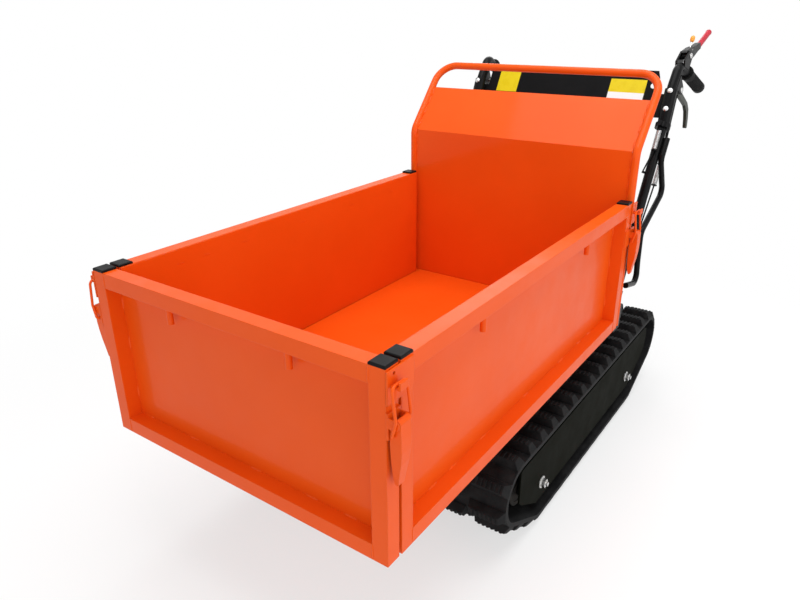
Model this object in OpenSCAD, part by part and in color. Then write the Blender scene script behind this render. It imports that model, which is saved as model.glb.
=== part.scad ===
// Tracked power carrier: a forward-tipping load box with three sliding gates on two rubber tracks.
// Millimetres, +X forward, +Y left, +Z up, origin on the ground under the middle of the machine.

/* [Load box] */
// distance between the outer faces of the side gates
box_w = 680; // [640:10:740]
// length from the front gate's face to the back of the side gates
box_l = 1044; // [980:4:1120]
// height of the gates
gate_h = 345; // [300:5:400]
// side of the square gate tube
tube = 30; // [28:1:34]
// wall of the square tube
wall = 2; // [1.5:0.5:3]
// thickness of the sheet panels
sheet = 2; // [1.5:0.5:3]
// height of the gates' lower edge above the ground
bed_z = 325; // [320:5:350]
// lean of the headboard's upper part
lean = 40.6; // [30:0.2:46]
// radius of the headboard hoop's tube
hoop_r = 10; // [9:0.5:12]

/* [Latches] */
// radius of the bail's wire
wire_r = 2.4; // [2:0.1:2.5]
// length of the bail between its pins and its cross bar
bail_l = 78; // [72:1:80]
// length of the latch lever below its pivot
lever_l = 108; // [95:1:120]

/* [Tracks] */
// distance between the sprocket and idler axles
wheelbase = 892; // [860:4:916]
// length of the flat stretch on the ground
track_flat = 640; // [600:4:652]
// height of a track over its lugs
track_h = 255; // [250:1:258]
// radius over the lugs round the sprocket and idler
loop_r = 95; // [90:1:98]
// width of a belt
belt_w = 180; // [170:2:190]
// height of the lugs
lug_h = 18; // [14:1:20]
// thickness of the belt without lugs
belt_t = 10; // [8:1:11]

/* [Controls] */
// radius of the handlebar tube
bar_r = 13; // [12:0.5:14]
// backward lean of the handlebars
bar_lean = 30; // [27:0.5:32]
// outward flare of the grips
flare = 7; // [4:0.5:9]
// radius of the rubber grips
grip_r = 17.5; // [16.5:0.5:19]

/* [Hidden] */
$fn = 48;

ORANGE = [0.93, 0.29, 0.06];
BLACK = [0.08, 0.08, 0.09];
STEEL = [0.7, 0.71, 0.72];
RUBBER = [0.05, 0.05, 0.05];
// radial clearance of pins in their holes
fit = 0.06;

// Positions in the box frame: distances behind the front gate's face are written d, with X = -d
hw = box_w/2;
fw = hw - 1;
side_d0 = tube + 6;
hb_d = box_l + 18;
hoop_y = hw - hoop_r - 0.8;
bend_z = gate_h + 123;
panel_up = 148;
hoop_up = 226.5;
hoop_bend_r = 57;
// gate bars and their guide tubes, front bars above the side bars
bar_s = tube - 8;
guide_s = bar_s + 0.8;
front_bar_y = hw - 190;
front_bar_z = (tube - 3)/2;
side_bar_z = -(tube - 1)/2;
side_bar_d = [round(0.22*box_l), round(0.785*box_l)];
bar_reach = 470;
peg_r = 6;
peg_drop = 35;
floor_z = tube;
// latches
latch_z = gate_h - 83;
latch_y = hw + 14;
latch_d_front = tube/2;
latch_d_rear = hb_d;
bail_off = [-2.8, -17.8];
bail_w = 18.3;
ear_in = 13.4;
ear_out = 15.6;
pin_r = 3;
cross_z = latch_z + bail_off[1] + bail_l;

// tracks, heights above the ground
track_d = box_l - 126;
axle_z = track_h - loop_r;
roll_out = 75;
belt_all = belt_t + lug_h;
idler_r = loop_r - belt_all;
roll_r = roll_out - belt_all;
belt_y1 = hw + 10;
belt_y0 = belt_y1 - belt_w;
belt_mid = (belt_y0 + belt_y1)/2;
wheel_w = 68;
wheel_gap = 0.5;
idler_c = [-(track_d - wheelbase/2), axle_z];
drive_c = [-(track_d + wheelbase/2), axle_z];
roll_d = track_d - 12;
roll_f = [-(roll_d - track_flat/2), roll_out];
roll_b = [-(roll_d + track_flat/2), roll_out];
// cover bolts above the rollers
stud_f = roll_f + [-17, 25];
stud_b = roll_b + [17, 25];
// the belt's sloping stretches: direction of the outward normal and length
function slope_dir(v) = atan2(v[1], v[0]) - acos((roll_r - idler_r)/norm(v));
function slope_len(v) = sqrt(v*v - pow(idler_r - roll_r, 2));
fore = idler_c - roll_f;
aft = [roll_b[0] - drive_c[0], axle_z - roll_out];
fore_a = slope_dir(fore);
aft_a = slope_dir(aft);
// belt path at the foot of the lugs: lengths of its eight stretches
ra = idler_r + belt_t;
rb = roll_r + belt_t;
function arc_len(r, a) = r*a*PI/180;
path_l = [wheelbase, arc_len(ra, 90 - fore_a), slope_len(fore), arc_len(rb, fore_a + 90), track_flat,
  arc_len(rb, aft_a + 90), slope_len(aft), arc_len(ra, 90 - aft_a)];
function upto(i) = i == 0 ? 0 : path_l[i - 1] + upto(i - 1);
path_all = upto(8);
lugs = round(path_all/60);
pitch = path_all/lugs;
function dir(a) = [cos(a), sin(a)];
function deg(len, r) = len/r*180/PI;
// point on the path and the direction of its outward normal
function on_arc(c, r, a) = [c[0] + r*cos(a), c[1] + r*sin(a), a];
function on_line(p, q, t, a) = [p[0] + (q[0] - p[0])*t, p[1] + (q[1] - p[1])*t, a];
function path_at(s) =
  s < upto(1) ? on_line(drive_c + ra*dir(90), idler_c + ra*dir(90), s/path_l[0], 90) :
  s < upto(2) ? on_arc(idler_c, ra, 90 - deg(s - upto(1), ra)) :
  s < upto(3) ? on_line(idler_c + ra*dir(fore_a), roll_f + rb*dir(fore_a), (s - upto(2))/path_l[2], fore_a) :
  s < upto(4) ? on_arc(roll_f, rb, fore_a - deg(s - upto(3), rb)) :
  s < upto(5) ? on_line(roll_f + rb*dir(-90), roll_b + rb*dir(-90), (s - upto(4))/track_flat, -90) :
  s < upto(6) ? on_arc(roll_b, rb, -90 - deg(s - upto(5), rb)) :
  s < upto(7) ? on_line(roll_b + rb*dir(180 - aft_a), drive_c + ra*dir(180 - aft_a),
    (s - upto(6))/path_l[6], 180 - aft_a) :
  on_arc(drive_c, ra, -180 - aft_a - deg(s - upto(7), ra));

// chassis, heights in the box frame
rail_y1 = belt_y0 - 20;
rail_y0 = rail_y1 - 40;
rail_top = -42;
rail_bot = -88;
pivot_d = track_d - 468;
pivot_z = -60;
pivot_r = 10;
deck_d0 = box_l + 56;
deck_d1 = deck_d0 + 400;
deck_z = rail_top + 5;
cross_d = [track_d - 220, track_d + 220];

// handlebar axis: a line in the box frame at y = bar_y
bar_y = hw - 36;
bar_base = [-(box_l + 57.7), bar_y, 26];
bar_u = [-sin(bar_lean), 0, cos(bar_lean)];
function on_bar(s) = bar_base + s*bar_u;
clamp_s = 542;
// handle plane: x across the tube to the rear, y along the tube, z outward
bar_w = [-cos(bar_lean)*cos(flare), sin(flare), -sin(bar_lean)*cos(flare)];
bar_n = cross(bar_w, bar_u);
handle_pts = [[-2.6, 20, 0], [-13, 100, 0], [-5, 173, 0], [184, 196, 0]];
handle_rs = [0, 150, 30, 0];
grip_dir = (handle_pts[3] - handle_pts[2])/norm(handle_pts[3] - handle_pts[2]);
grip_l = 132;
grip_start = handle_pts[3] - grip_dir*(grip_l - 4);
drive_pivot = [22, 214];
steer_pivot = [24, 112];
// in the drive lever's own frame: pivot of the lock catch, start and end of the sleeve
catch_at = [14, 26];
sleeve_at = [[64, 59, 0], [118.5, 135, 0]];
sleeve_r = bar_r + 3.9;
dash_off = -sleeve_r - 2.1;
dash_s0 = clamp_s + 23;
dash_l = bar_y - 49;
dash_r = bar_y - 19;
dash_low = -20;
dash_top = 141;
// dash bolts along the tube: their places in the dash plane, the seats of their heads and their spacers
bolt_y = [13.4, 63.4];
hand_tilt = atan2(-handle_pts[1][0], handle_pts[1][1]);
function tube_at(y) = (y + dash_s0 - clamp_s)*tan(hand_tilt) - dash_off;
function head_z(y) = tube_at(y) + sleeve_r/cos(hand_tilt) - 1.3;
function spacer_z(y) = tube_at(y) - sleeve_r/cos(hand_tilt) - 1.3;

// overall length and the place of the box frame in the part's frame
front_reach = bail_w + wire_r + 0.04 - latch_d_front;
lever_tip = drive_pivot + [sleeve_at[1][0], sleeve_at[1][1]];
rear_reach = 8 - (on_bar(clamp_s) + lever_tip[0]*bar_w + lever_tip[1]*bar_u)[0];
front_x = (rear_reach - front_reach)/2;

module place() {
  translate([front_x, 0, bed_z]) children();
}

module ground() {
  translate([front_x, 0, 0]) children();
}

module both() {
  children();
  mirror([0, 1, 0]) children();
}

// box from d0 to d1 behind the front face
module bx(d0, d1, y0, y1, z0, z1) {
  translate([-d1, y0, z0]) cube([d1 - d0, y1 - y0, z1 - z0]);
}

// round bar across the machine
module ycyl(p, r, y0, y1) {
  translate([p[0], y1, p[1]]) rotate([90, 0, 0]) cylinder(r = r, h = y1 - y0);
}

// round bar along the machine
module xcyl(p, r, x0, x1) {
  translate([x0, p[0], p[1]]) rotate([0, 90, 0]) cylinder(r = r, h = x1 - x0);
}

// plate with a side-view outline
module side_plate(y0, y1) {
  translate([0, y1, 0]) rotate([90, 0, 0]) linear_extrude(y1 - y0) children();
}

// plate with a front-view outline
module front_plate(x0, x1) {
  translate([x0, 0, 0]) rotate([90, 0, 90]) linear_extrude(x1 - x0) children();
}

module rod(p, q, r) {
  v = q - p;
  translate(p) rotate([0, acos(v[2]/norm(v)), atan2(v[1], v[0])]) cylinder(r = r, h = norm(v));
}

function unit(v) = v/norm(v);
function bend_t(a, b, rb) = rb*tan(acos(min(1, max(-1, a*b)))/2);
// where the straight before or after corner i starts and ends
function leg_dir(pts, i) = unit(pts[i + 1] - pts[i]);
function leg_cut(pts, rs, i) = i == 0 || i == len(pts) - 1 ? 0 :
  bend_t(leg_dir(pts, i - 1), leg_dir(pts, i), rs[i]);

// how far a straight runs into its bend
function bend_in(rb) = min(0.8, 0.1 + rb/50);

// round bar through points with bends of the given radii; a bend is a hair thicker, so the straights seat in it
module pipe(pts, rs, r) {
  n = len(pts) - 1;
  for (i = [0 : n - 1]) {
    a = leg_dir(pts, i);
    rod(pts[i] + a*(leg_cut(pts, rs, i) - (i == 0 ? 0 : bend_in(rs[i]))),
      pts[i + 1] - a*(leg_cut(pts, rs, i + 1) - (i == n - 1 ? 0 : bend_in(rs[i + 1]))), r);
  }
  for (i = [1 : 1 : n - 1]) {
    a = leg_dir(pts, i - 1);
    b = leg_dir(pts, i);
    m = unit(b - (a*b)*a);
    c = pts[i] - a*leg_cut(pts, rs, i) + m*rs[i];
    e = cross(-m, a);
    multmatrix([[-m[0], a[0], e[0], c[0]], [-m[1], a[1], e[1], c[1]], [-m[2], a[2], e[2], c[2]], [0, 0, 0, 1]])
      rotate_extrude(angle = acos(a*b)) translate([rs[i], 0]) circle(r = r + 0.04);
  }
}

// left handle's plane, placed at the clamp
module handle() {
  k = on_bar(clamp_s);
  multmatrix([[bar_w[0], bar_u[0], bar_n[0], k[0]], [bar_w[1], bar_u[1], bar_n[1], k[1]],
    [bar_w[2], bar_u[2], bar_n[2], k[2]], [0, 0, 0, 1]]) children();
}

// dash plane: x across the machine, y up along the tubes, z forward, just behind the tubes
module dash() {
  k = on_bar(dash_s0);
  n = [bar_u[2], 0, -bar_u[0]];
  multmatrix([[0, bar_u[0], n[0], k[0] + n[0]*dash_off], [1, 0, 0, 0],
    [0, bar_u[2], n[2], k[2] + n[2]*dash_off], [0, 0, 0, 1]]) children();
}

// Bed

module bed_floor() {
  color(ORANGE) place() bx(tube + sheet + 2, hb_d - 3, -(hw - tube - 4), hw - tube - 4, floor_z - 2, floor_z);
}

module cross_member(d, w, reach) {
  bx(d - w/2, d + w/2, -reach, reach, -(tube - 1), 0);
}

module bed_subframe() {
  color(ORANGE) place() difference() {
    union() {
      both() {
        bx(tube + 10, 540, front_bar_y - tube/2, front_bar_y + tube/2, -1, floor_z - 2);
        bx(tube + 10, hb_d, hw - 75, hw - 45, -1, floor_z - 2);
        side_plate(rail_y0 - 14, rail_y0 - 6) {
          translate([-pivot_d, pivot_z]) circle(r = 22);
          translate([-pivot_d - 22, pivot_z]) square([44, 42]);
        }
      }
      for (d = side_bar_d) {
        cross_member(d, tube, hw - 40);
      }
      cross_member(pivot_d, tube, hw - 45);
      bx(hb_d - 15, hb_d + 13, -(hoop_y - hoop_r), hoop_y - hoop_r, -(tube - 1), floor_z - 2);
    }
    both() {
      bx(tube, 560, front_bar_y - guide_s/2, front_bar_y + guide_s/2, front_bar_z - guide_s/2,
        front_bar_z + guide_s/2);
      bx(tube, hb_d - 16, hw - 72, hw - 48, 2, floor_z - 5);
    }
    for (d = side_bar_d) {
      bx(d - guide_s/2, d + guide_s/2, -hw, hw, side_bar_z - guide_s/2, side_bar_z + guide_s/2);
    }
    ycyl([-pivot_d, pivot_z], pivot_r + fit, -rail_y0, rail_y0);
  }
}

module headboard_panel() {
  s = sheet/2;
  m = s*tan(lean/2);
  top = [-hb_d - panel_up*sin(lean), bend_z + panel_up*cos(lean)];
  w = hoop_y - hoop_r - 0.2;
  color(ORANGE) place() side_plate(-w, w) polygon([[-hb_d + s, floor_z - 2], [-hb_d + s, bend_z + m],
    top + s*[cos(lean), sin(lean)], top - s*[cos(lean), sin(lean)], [-hb_d - s, bend_z - m],
    [-hb_d - s, floor_z - 2]]);
}

module headboard_hoop() {
  top_x = -hb_d - hoop_up*sin(lean);
  top_z = bend_z + hoop_up*cos(lean);
  color(ORANGE) place() pipe([[-hb_d, hoop_y, 0], [-hb_d, hoop_y, bend_z], [top_x, hoop_y, top_z],
    [top_x, -hoop_y, top_z], [-hb_d, -hoop_y, bend_z], [-hb_d, -hoop_y, 0]],
    [0, 40, hoop_bend_r, hoop_bend_r, 40, 0], hoop_r);
}

// catch plate on a face at y = yb with a hook for a bail centred at d = dc
module catch_plate(d0, d1, dc, yb) {
  base = cross_z - wire_r - 3.8;
  low = latch_z + 28;
  difference() {
    side_plate(yb, hw + 3) polygon([[-d0, low], [8 - d1, low], [-d1, low + 7], [-d1, gate_h - 3],
      [-d0, gate_h - 3]]);
    ycyl([-dc, gate_h - 10], 3, yb - 1, hw + 4);
  }
  bx(dc - 10, dc + 10, hw + 2, hw + 20.5, base, base + 3);
  bx(dc - 10, dc + 10, hw + 17.5, hw + 20.5, base, base + 12);
}

module headboard_catches() {
  color(ORANGE) place() both() catch_plate(latch_d_rear - 16, latch_d_rear + 16, latch_d_rear,
    hoop_y + hoop_r);
}

// Gates

// square-tube frame in the XZ plane, its outer corner at the origin, with the bores joined
module square_frame(l, h) {
  difference() {
    union() {
      cube([tube, tube, h]);
      translate([l - tube, 0, 0]) cube([tube, tube, h]);
      translate([tube - 1, 0, 0]) cube([l - 2*tube + 2, tube, tube]);
      translate([tube - 1, 0, h - tube]) cube([l - 2*tube + 2, tube, tube]);
    }
    for (x = [wall, l - tube + wall]) {
      translate([x, wall, -1]) cube([tube - 2*wall, tube - 2*wall, h + 2]);
    }
    for (z = [wall, h - tube + wall]) {
      translate([tube - wall - 1, wall, z]) cube([l - 2*tube + 2*wall + 2, tube - 2*wall, tube - 2*wall]);
    }
  }
}

module peg(d, y) {
  translate([-d, y, gate_h - tube - peg_drop]) cylinder(r = peg_r, h = peg_drop + 1);
}

// black end cap with a plug for a square tube
module tube_cap(d, y) {
  translate([-d, y, gate_h]) rotate([0, 0, 45]) rotate_extrude($fn = 4)
    polygon([[0, 0], [tube/sqrt(2), 0], [tube/sqrt(2), 3.5], [tube/sqrt(2) - 2, 5], [0, 5]]);
  plug = tube - 2*wall - 0.4;
  translate([-d - plug/2, y - plug/2, gate_h - 14]) cube([plug, plug, 15]);
}

// bracket with two ears and a pivot pin on a post's face at y = yb
module latch_bracket(d0, d1, dc, yb) {
  bx(d0, d1, yb, hw + 3, latch_z - 28, latch_z + 15);
  for (x = [-ear_out, ear_in]) {
    translate([-dc, 0, 0]) front_plate(x, x + ear_out - ear_in) {
      translate([hw + 2, latch_z - 8]) square([latch_y - hw - 2, 16]);
      translate([latch_y, latch_z]) circle(r = 8);
    }
  }
  xcyl([latch_y, latch_z], pin_r, -dc - 15.3, -dc + 15.3);
}

module front_gate_frame() {
  color(ORANGE) place() {
    translate([0, -fw, 0]) rotate([0, 0, 90]) square_frame(2*fw, gate_h);
    both() {
      peg(tube/2, 143);
      bx(tube - 1, tube + bar_reach, front_bar_y - bar_s/2, front_bar_y + bar_s/2, front_bar_z - bar_s/2,
        front_bar_z + bar_s/2);
    }
  }
}

module front_gate_panel() {
  color(ORANGE) place() bx(tube, tube + sheet, 1 - fw, fw - 1, tube - 4, gate_h - 2);
}

module front_gate_caps() {
  color(BLACK) place() both() tube_cap(tube/2, fw - tube/2);
}

module front_latch_brackets() {
  color(ORANGE) place() both()
    latch_bracket(latch_d_front - ear_out, latch_d_front + ear_out, latch_d_front, fw);
}

module side_gate_frame() {
  color(ORANGE) place() {
    translate([-box_l, hw - tube, 0]) square_frame(box_l - side_d0, gate_h);
    for (d = [0.29*box_l, 0.755*box_l]) {
      peg(d, hw - tube/2);
    }
    for (d = side_bar_d) {
      bx(d - bar_s/2, d + bar_s/2, 35, hw - 18, side_bar_z - bar_s/2, side_bar_z + bar_s/2);
      bx(d - bar_s/2, d + bar_s/2, hw - tube + 2, hw - 18, side_bar_z, wall - 0.5);
    }
  }
}

module side_gate_panel() {
  color(ORANGE) place() bx(side_d0 + 2, box_l - 2, hw - tube - sheet, hw - tube, 1, gate_h - 1);
}

module side_gate_caps() {
  color(BLACK) place() {
    tube_cap(side_d0 + tube/2, hw - tube/2);
    tube_cap(box_l - tube/2, hw - tube/2);
  }
}

module side_gate_fittings() {
  color(ORANGE) place() {
    catch_plate(-1, side_d0 + tube - 2, latch_d_front, hw);
    latch_bracket(box_l - tube + 2, latch_d_rear + ear_out, latch_d_rear, hw);
  }
}

module left_gate_frame() {
  side_gate_frame();
}

module left_gate_panel() {
  side_gate_panel();
}

module left_gate_caps() {
  side_gate_caps();
}

module left_gate_fittings() {
  side_gate_fittings();
}

module right_gate_frame() {
  mirror([0, 1, 0]) side_gate_frame();
}

module right_gate_panel() {
  mirror([0, 1, 0]) side_gate_panel();
}

module right_gate_caps() {
  mirror([0, 1, 0]) side_gate_caps();
}

module right_gate_fittings() {
  mirror([0, 1, 0]) side_gate_fittings();
}

// Latches

// pressed channel lever, drawn on the left side
module latch_lever(dc) {
  tip = -lever_l;
  color(ORANGE) place() translate([-dc, latch_y, latch_z]) difference() {
    intersection() {
      front_plate(-13, 13) polygon(concat([for (a = [14 : 11 : 180]) 9*dir(a)], [[-9, -14], [-10.5, -34],
        [-10.5, -60], [-9, tip + 18], [-6, tip + 2], [-4, tip], [-1.5, tip], [0, tip + 2], [2.5, tip + 18],
        [7, -66], [9, -46], [9.5, -24]]));
      side_plate(-30, 30) polygon([[-13, 12], [13, 12], [13, -32], [8, tip + 4], [6, tip - 1], [-6, tip - 1],
        [-8, tip + 4], [-13, -32]]);
    }
    intersection() {
      front_plate(-12, 12) polygon([[-20, 20], [-1, 20], [7.5, -22], [7, -46], [5, -66], [0.5, tip + 18],
        [-2, tip + 9], [-20, tip + 9]]);
      side_plate(-30, 30) polygon([[-11, 30], [11, 30], [11, -32], [6, tip + 4], [-6, tip + 4], [-11, -32]]);
    }
    xcyl([0, 0], pin_r + fit, -20, 20);
    xcyl(bail_off, wire_r + fit, -20, 20);
  }
}

// wire bail with its pins in the lever, its legs bent round the lever's pin
module latch_bail(dc) {
  color(ORANGE) place() translate([-dc, latch_y + bail_off[0], latch_z + bail_off[1]])
    pipe([[-10.5, 0, 0], [-bail_w, 0, 0], [-bail_w, 7, 26], [-bail_w, 0, bail_l], [bail_w, 0, bail_l],
      [bail_w, 7, 26], [bail_w, 0, 0], [10.5, 0, 0]], [0, 3.5, 14, 9, 9, 14, 3.5, 0], wire_r);
}

module latch_lever_fl() {
  latch_lever(latch_d_front);
}

module latch_lever_fr() {
  mirror([0, 1, 0]) latch_lever(latch_d_front);
}

module latch_lever_rl() {
  latch_lever(latch_d_rear);
}

module latch_lever_rr() {
  mirror([0, 1, 0]) latch_lever(latch_d_rear);
}

module latch_bail_fl() {
  latch_bail(latch_d_front);
}

module latch_bail_fr() {
  mirror([0, 1, 0]) latch_bail(latch_d_front);
}

module latch_bail_rl() {
  latch_bail(latch_d_rear);
}

module latch_bail_rr() {
  mirror([0, 1, 0]) latch_bail(latch_d_rear);
}

// Undercarriage

module chassis_frame() {
  color(BLACK) place() difference() {
    union() {
      both() {
        bx(pivot_d - 22, deck_d1, rail_y0, rail_y1, rail_bot, rail_top);
        for (d = cross_d) {
          bx(d - 25, d + 25, rail_y0, rail_y1, axle_z - bed_z, rail_bot + 1);
        }
        bx(side_bar_d[1] - 20, side_bar_d[1] + 20, rail_y0, rail_y1, rail_top - 1, 0.8 - tube);
        rod(on_bar(6), on_bar(56), bar_r + 5);
        bx(box_l + 47, box_l + 94, rail_y0 - 10, bar_y + 17, deck_z - 1, -8);
        bx(box_l + 46, box_l + 95, bar_y - 18, bar_y + 18, -9, 34);
      }
      for (d = cross_d) {
        bx(d - 25, d + 25, -(belt_mid - 38), belt_mid - 38, axle_z - 25 - bed_z, axle_z + 25 - bed_z);
      }
      ycyl([-pivot_d, pivot_z], pivot_r, -rail_y1, rail_y1);
      bx(deck_d0, deck_d1, -rail_y1, rail_y1, rail_top - 1, deck_z);
    }
    both() {
      rod(on_bar(0), on_bar(80), bar_r + 0.05);
      bx(pivot_d + 25, deck_d1 + 1, rail_y0 + 4, rail_y1 - 4, rail_bot + 4, rail_top - 4);
    }
    for (d = cross_d) {
      bx(d - 21, d + 21, -belt_mid, belt_mid, axle_z - 21 - bed_z, axle_z + 21 - bed_z);
    }
  }
}

// side outline of the plate that hangs a roller and carries a cover bolt
module hanger(c, stud) {
  translate(c) circle(r = 20);
  translate([min(c[0], stud[0]) - 20, c[1]]) square([abs(c[0] - stud[0]) + 40, axle_z + 20 - c[1]]);
}

module track_beam() {
  y0 = belt_mid - wheel_w/2 - 4;
  y1 = belt_mid + wheel_w/2 + 4;
  ground() {
    translate([drive_c[0] + idler_r + 14, 0, 0]) difference() {
      translate([0, y0, axle_z - 32]) cube([wheelbase - 2*idler_r - 28, y1 - y0, 64]);
      translate([-1, y0 + 5, axle_z - 27]) cube([wheelbase - 2*idler_r - 26, y1 - y0 - 10, 54]);
    }
    for (y = [y0 - 6, y1]) {
      side_plate(y, y + 6) {
        hanger(roll_f, stud_f);
        hanger(roll_b, stud_b);
        translate(idler_c) circle(r = 22);
        translate([idler_c[0] - 130, axle_z - 22]) square([130, 44]);
      }
    }
    for (c = [roll_f, roll_b]) {
      ycyl(c, 10, y0 - 6, y1 + 10);
    }
    for (c = [stud_f, stud_b]) {
      ycyl(c, 11, y1 + 1, belt_y1 - 14);
    }
    ycyl(idler_c, 12, y0 - 10, y1 + 10);
  }
}

module track_beams() {
  color(BLACK) both() track_beam();
}

// side outline of the loop inside the belt, grown by off
module loop_shape(off) {
  ri = idler_r + off;
  rr = roll_r + off;
  for (c = [idler_c, drive_c]) {
    translate(c) circle(r = ri, $fn = 96);
  }
  for (c = [roll_f, roll_b]) {
    translate(c) circle(r = rr, $fn = 96);
  }
  // straight stretches lie a hair inside the tangents, so that they cut the arcs
  si = ri - 0.05;
  sr = rr - 0.05;
  polygon([idler_c + si*dir(90), idler_c + si*dir(fore_a), roll_f + sr*dir(fore_a), roll_f + sr*dir(-90),
    roll_b + sr*dir(-90), roll_b + sr*dir(180 - aft_a), drive_c + si*dir(180 - aft_a),
    drive_c + si*dir(90)]);
}

// half-width lug with a sloping outer end; flip gives the inner half
module lug(s, flip) {
  p = path_at(s);
  y_end = belt_w/2 - 0.5;
  translate([p[0], belt_mid, p[1]]) rotate([0, 90 - p[2], 0]) mirror([0, flip, 0]) intersection() {
    side_plate(0, y_end) polygon([[-15, -3], [15, -3], [15, 2], [9, lug_h], [-9, lug_h], [-15, 2]]);
    front_plate(-20, 20) polygon([[6, -3], [y_end, -3], [y_end, 2], [y_end - 9, lug_h], [10, lug_h], [6, 2]]);
  }
}

module belt() {
  color(RUBBER) ground() {
    side_plate(belt_y0, belt_y1) difference() {
      loop_shape(belt_t);
      loop_shape(0);
    }
    for (i = [0 : lugs - 1]) {
      lug(i*pitch, 0);
      lug((i + 0.5)*pitch, 1);
    }
  }
}

module belt_left() {
  belt();
}

module belt_right() {
  mirror([0, 1, 0]) belt();
}

module track_cover() {
  c0 = -idler_c[0] + 12;
  c1 = -drive_c[0] + 24;
  top = axle_z + 42;
  low = axle_z - 106;
  ground() side_plate(belt_y1 - 14, belt_y1 - 10) difference() {
    polygon([[-c0 - 4, top], [-c0, top - 5], [-c0, low + 64], [-c0 - 4, low + 57], [-c0 - 16, low + 47],
      [-c0 - 96, low], [148 - c1, low], [36 - c1, low + 52], [6 - c1, low + 78], [-c1, low + 112],
      [10 - c1, top - 7], [26 - c1, top]]);
    for (c = [stud_f, stud_b]) {
      translate(c) circle(r = 6 + fit);
    }
  }
}

module track_covers() {
  color([0.13, 0.13, 0.11]) both() track_cover();
}

module track_bolt(c) {
  y = belt_y1 - 10;
  ycyl(c, 6, y - 4, y + 2);
  ycyl(c, 15, y, y + 2.5);
  translate([c[0], y + 2, c[1]]) rotate([-90, 0, 0]) cylinder(r = 11, h = 10, $fn = 6);
  ycyl(c, 5, y + 10, y + 17);
}

module track_bolts() {
  color(STEEL) ground() both() {
    track_bolt(stud_f);
    track_bolt(stud_b);
  }
}

// wheel with a groove between two rims, turning on its axle
module track_wheel(c, r, bore, holes) {
  h = wheel_w/2;
  translate([c[0], belt_mid, c[1]]) rotate([90, 0, 0]) difference() {
    rotate_extrude($fn = 72) polygon([[bore + fit, -h], [bore + 9, -h], [bore + 9, 4 - h], [r - 9, 4 - h],
      [r - 9, -h + 1], [r, -h + 1], [r, -13], [r - 12, -10], [r - 12, 10], [r, 13], [r, h - 1], [r - 9, h - 1],
      [r - 9, h - 4], [bore + 9, h - 4], [bore + 9, h], [bore + fit, h]]);
    for (i = [1 : 1 : holes]) {
      rotate([0, 0, i*360/holes]) translate([(r + bore)/2, 0, 0]) cylinder(r = 8, h = 2*h, center = true);
    }
  }
}

module idler() {
  color(BLACK) ground() track_wheel(idler_c, idler_r - wheel_gap, 12, 6);
}

module roller(c) {
  color(BLACK) ground() track_wheel(c, roll_r - wheel_gap, 10, 0);
}

// toothed drive wheel with its half shaft
module sprocket() {
  r = idler_r - wheel_gap;
  teeth = 9;
  color(BLACK) ground() {
    side_plate(belt_mid - 30, belt_mid + 30) translate(drive_c) {
      circle(r = r - 14);
      for (i = [0 : teeth - 1]) {
        rotate(i*360/teeth) polygon([[0, -13], [r - 13, -12], [r - 1, -7], [r - 1, 7], [r - 13, 12], [0, 13]]);
      }
    }
    ycyl(drive_c, 26, belt_mid - 42, belt_mid + 38);
    ycyl(drive_c, 15, 72, belt_mid + 40);
  }
}

module sprocket_left() {
  sprocket();
}

module sprocket_right() {
  mirror([0, 1, 0]) sprocket();
}

module idler_left() {
  idler();
}

module idler_right() {
  mirror([0, 1, 0]) idler();
}

module roller_lf() {
  roller(roll_f);
}

module roller_lr() {
  roller(roll_b);
}

module roller_rf() {
  mirror([0, 1, 0]) roller(roll_f);
}

module roller_rr() {
  mirror([0, 1, 0]) roller(roll_b);
}

// Engine and gearbox

module gearbox() {
  x = drive_c[0];
  z = axle_z - bed_z;
  top = rail_bot - 2;
  color([0.35, 0.36, 0.37]) place() difference() {
    union() {
      translate([x - 70, -95, z - 55]) cube([150, 190, 55 + top - z]);
      translate([x + 5, 0, z + 10]) rotate([90, 0, 0]) cylinder(r = 66, h = 170, center = true);
      ycyl([x, z], 28, -(belt_mid - 44), belt_mid - 44);
      both() {
        bx(-x - 60, -x - 30, 60, rail_y0 + 2, rail_bot - 30, rail_bot - 0.3);
        bx(-x + 30, -x + 60, 60, rail_y0 + 2, rail_bot - 30, rail_bot - 0.3);
      }
    }
    both() ycyl([x, z], 15 + fit, 68, belt_mid);
  }
}

eng_d = deck_d0 + 150;
eng_z = deck_z + 0.2;

// engine frame: its -Y side, with the starter, faces the rear
module engine_frame() {
  place() translate([-eng_d, 0, eng_z]) rotate([0, 0, -90]) children();
}

module engine_block() {
  color([0.3, 0.31, 0.32]) engine_frame() {
    translate([-95, -75, 0]) cube([190, 150, 14]);
    translate([-80, -65, 13]) cube([160, 120, 137]);
    rotate([0, -25, 0]) translate([-10, 0, 0]) {
      for (i = [0 : 5]) {
        translate([36, -62, 108 + 14*i]) cube([96, 114, 6]);
      }
      translate([48, -50, 80]) cube([72, 90, 110]);
    }
    ycyl([-30, 80], 42, -74, 56);
    ycyl([-30, 80], 12, 54, 116);
  }
}

module engine_cover() {
  color(BLACK) engine_frame() difference() {
    union() {
      ycyl([-30, 108], 92, -140, -74.2);
      ycyl([-30, 108], 66, -158, -139);
    }
    for (i = [0 : 11]) {
      translate([-30, -150, 108]) rotate([0, i*30, 0]) translate([46, 0, 0]) cube([22, 30, 7], center = true);
    }
    translate([-30, -150, 108 + 30]) rotate([90, 0, 0]) cylinder(r = 8, h = 40, center = true);
  }
}

module starter_handle() {
  color(BLACK) engine_frame() translate([-30, -158.4, 138]) {
    rotate([90, 0, 0]) cylinder(r = 6, h = 12);
    translate([-26, -26, -8]) cube([52, 15, 16]);
  }
}

tank_z = 220;

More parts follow.
